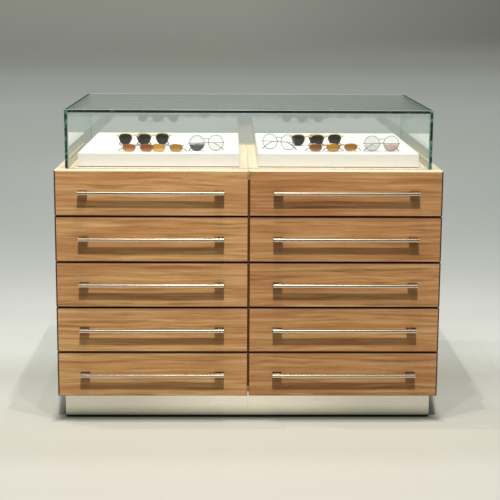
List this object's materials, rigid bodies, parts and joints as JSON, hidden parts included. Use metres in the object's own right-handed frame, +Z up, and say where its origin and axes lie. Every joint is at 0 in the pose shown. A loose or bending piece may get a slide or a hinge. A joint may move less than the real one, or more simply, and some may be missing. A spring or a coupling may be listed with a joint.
{
  "type": "eyewear display case",
  "caption": "free-standing display counter: oak cabinet with two columns of drawers on a recessed steel plinth, and a frameless glass hood over white display blocks",
  "frame": {"origin": "under the middle of the whole object's box, at floor level", "axes": "+X to the customer's right along the width, +Y from the drawer fronts to the back, +Z up"},
  "size_m": [1.22, 0.772, 1],
  "materials": {
    "plinth_timber": "planed timber",
    "plinth_steel": "brushed lengthwise",
    "foot_plastic": "black, moulded",
    "cabinet_veneer": "oak veneer, horizontal grain, matt lacquer",
    "pale_oak": "pale oak, clear matt lacquer",
    "runner_steel": "zinc plated",
    "block_lacquer": "white satin lacquer on board",
    "spectacle_acetate": "acetate and wire frames with tinted lenses",
    "hood_glass": "clear float glass with polished green edges",
    "drawer_veneer": "oak veneer, horizontal grain, matt lacquer",
    "drawer_board": "birch drawer sides, clear lacquer",
    "handle_steel": "brushed along the bar"
  },
  "bodies": {
    "cabinet": {"plinth_frame": "plinth_timber", "plinth_cladding": "plinth_steel", "levelling_feet": "foot_plastic", "base_panel": "cabinet_veneer", "side_panel_left": "cabinet_veneer", "side_panel_right": "cabinet_veneer", "centre_divider": "cabinet_veneer", "back_panel": "cabinet_veneer", "sub_top": "cabinet_veneer", "top_board_left": "pale_oak", "top_board_right": "pale_oak", "cabinet_rails": "runner_steel", "display_block_left": "block_lacquer", "display_block_right": "block_lacquer", "eyewear": "spectacle_acetate"},
    "hood": {"glass_top": "hood_glass", "glass_front": "hood_glass", "glass_left": "hood_glass", "glass_right": "hood_glass", "glass_back": "hood_glass"},
    "drawer_left_1": {"front_left_1": "drawer_veneer", "box_left_1": "drawer_board", "handle_left_1": "handle_steel", "runner_left_1": "runner_steel"},
    "drawer_left_2": {"front_left_2": "drawer_veneer", "box_left_2": "drawer_board", "handle_left_2": "handle_steel", "runner_left_2": "runner_steel"},
    "drawer_left_3": {"front_left_3": "drawer_veneer", "box_left_3": "drawer_board", "handle_left_3": "handle_steel", "runner_left_3": "runner_steel"},
    "drawer_left_4": {"front_left_4": "drawer_veneer", "box_left_4": "drawer_board", "handle_left_4": "handle_steel", "runner_left_4": "runner_steel"},
    "drawer_left_5": {"front_left_5": "drawer_veneer", "box_left_5": "drawer_board", "handle_left_5": "handle_steel", "runner_left_5": "runner_steel"},
    "drawer_right_1": {"front_right_1": "drawer_veneer", "box_right_1": "drawer_board", "handle_right_1": "handle_steel", "runner_right_1": "runner_steel"},
    "drawer_right_2": {"front_right_2": "drawer_veneer", "box_right_2": "drawer_board", "handle_right_2": "handle_steel", "runner_right_2": "runner_steel"},
    "drawer_right_3": {"front_right_3": "drawer_veneer", "box_right_3": "drawer_board", "handle_right_3": "handle_steel", "runner_right_3": "runner_steel"},
    "drawer_right_4": {"front_right_4": "drawer_veneer", "box_right_4": "drawer_board", "handle_right_4": "handle_steel", "runner_right_4": "runner_steel"},
    "drawer_right_5": {"front_right_5": "drawer_veneer", "box_right_5": "drawer_board", "handle_right_5": "handle_steel", "runner_right_5": "runner_steel"}
  },
  "joints": [
    {"name": "hood_lift", "type": "slide", "parent": "cabinet", "child": "hood", "axis": [0, 0, 1], "range_m": [0, 0.25]},
    {"name": "drawer_left_1_slide", "type": "slide", "parent": "cabinet", "child": "drawer_left_1", "axis": [0, -1, 0], "range_m": [0, 0.48]},
    {"name": "drawer_left_2_slide", "type": "slide", "parent": "cabinet", "child": "drawer_left_2", "axis": [0, -1, 0], "range_m": [0, 0.48]},
    {"name": "drawer_left_3_slide", "type": "slide", "parent": "cabinet", "child": "drawer_left_3", "axis": [0, -1, 0], "range_m": [0, 0.48]},
    {"name": "drawer_left_4_slide", "type": "slide", "parent": "cabinet", "child": "drawer_left_4", "axis": [0, -1, 0], "range_m": [0, 0.48]},
    {"name": "drawer_left_5_slide", "type": "slide", "parent": "cabinet", "child": "drawer_left_5", "axis": [0, -1, 0], "range_m": [0, 0.48]},
    {"name": "drawer_right_1_slide", "type": "slide", "parent": "cabinet", "child": "drawer_right_1", "axis": [0, -1, 0], "range_m": [0, 0.48]},
    {"name": "drawer_right_2_slide", "type": "slide", "parent": "cabinet", "child": "drawer_right_2", "axis": [0, -1, 0], "range_m": [0, 0.48]},
    {"name": "drawer_right_3_slide", "type": "slide", "parent": "cabinet", "child": "drawer_right_3", "axis": [0, -1, 0], "range_m": [0, 0.48]},
    {"name": "drawer_right_4_slide", "type": "slide", "parent": "cabinet", "child": "drawer_right_4", "axis": [0, -1, 0], "range_m": [0, 0.48]},
    {"name": "drawer_right_5_slide", "type": "slide", "parent": "cabinet", "child": "drawer_right_5", "axis": [0, -1, 0], "range_m": [0, 0.48]}
  ]
}
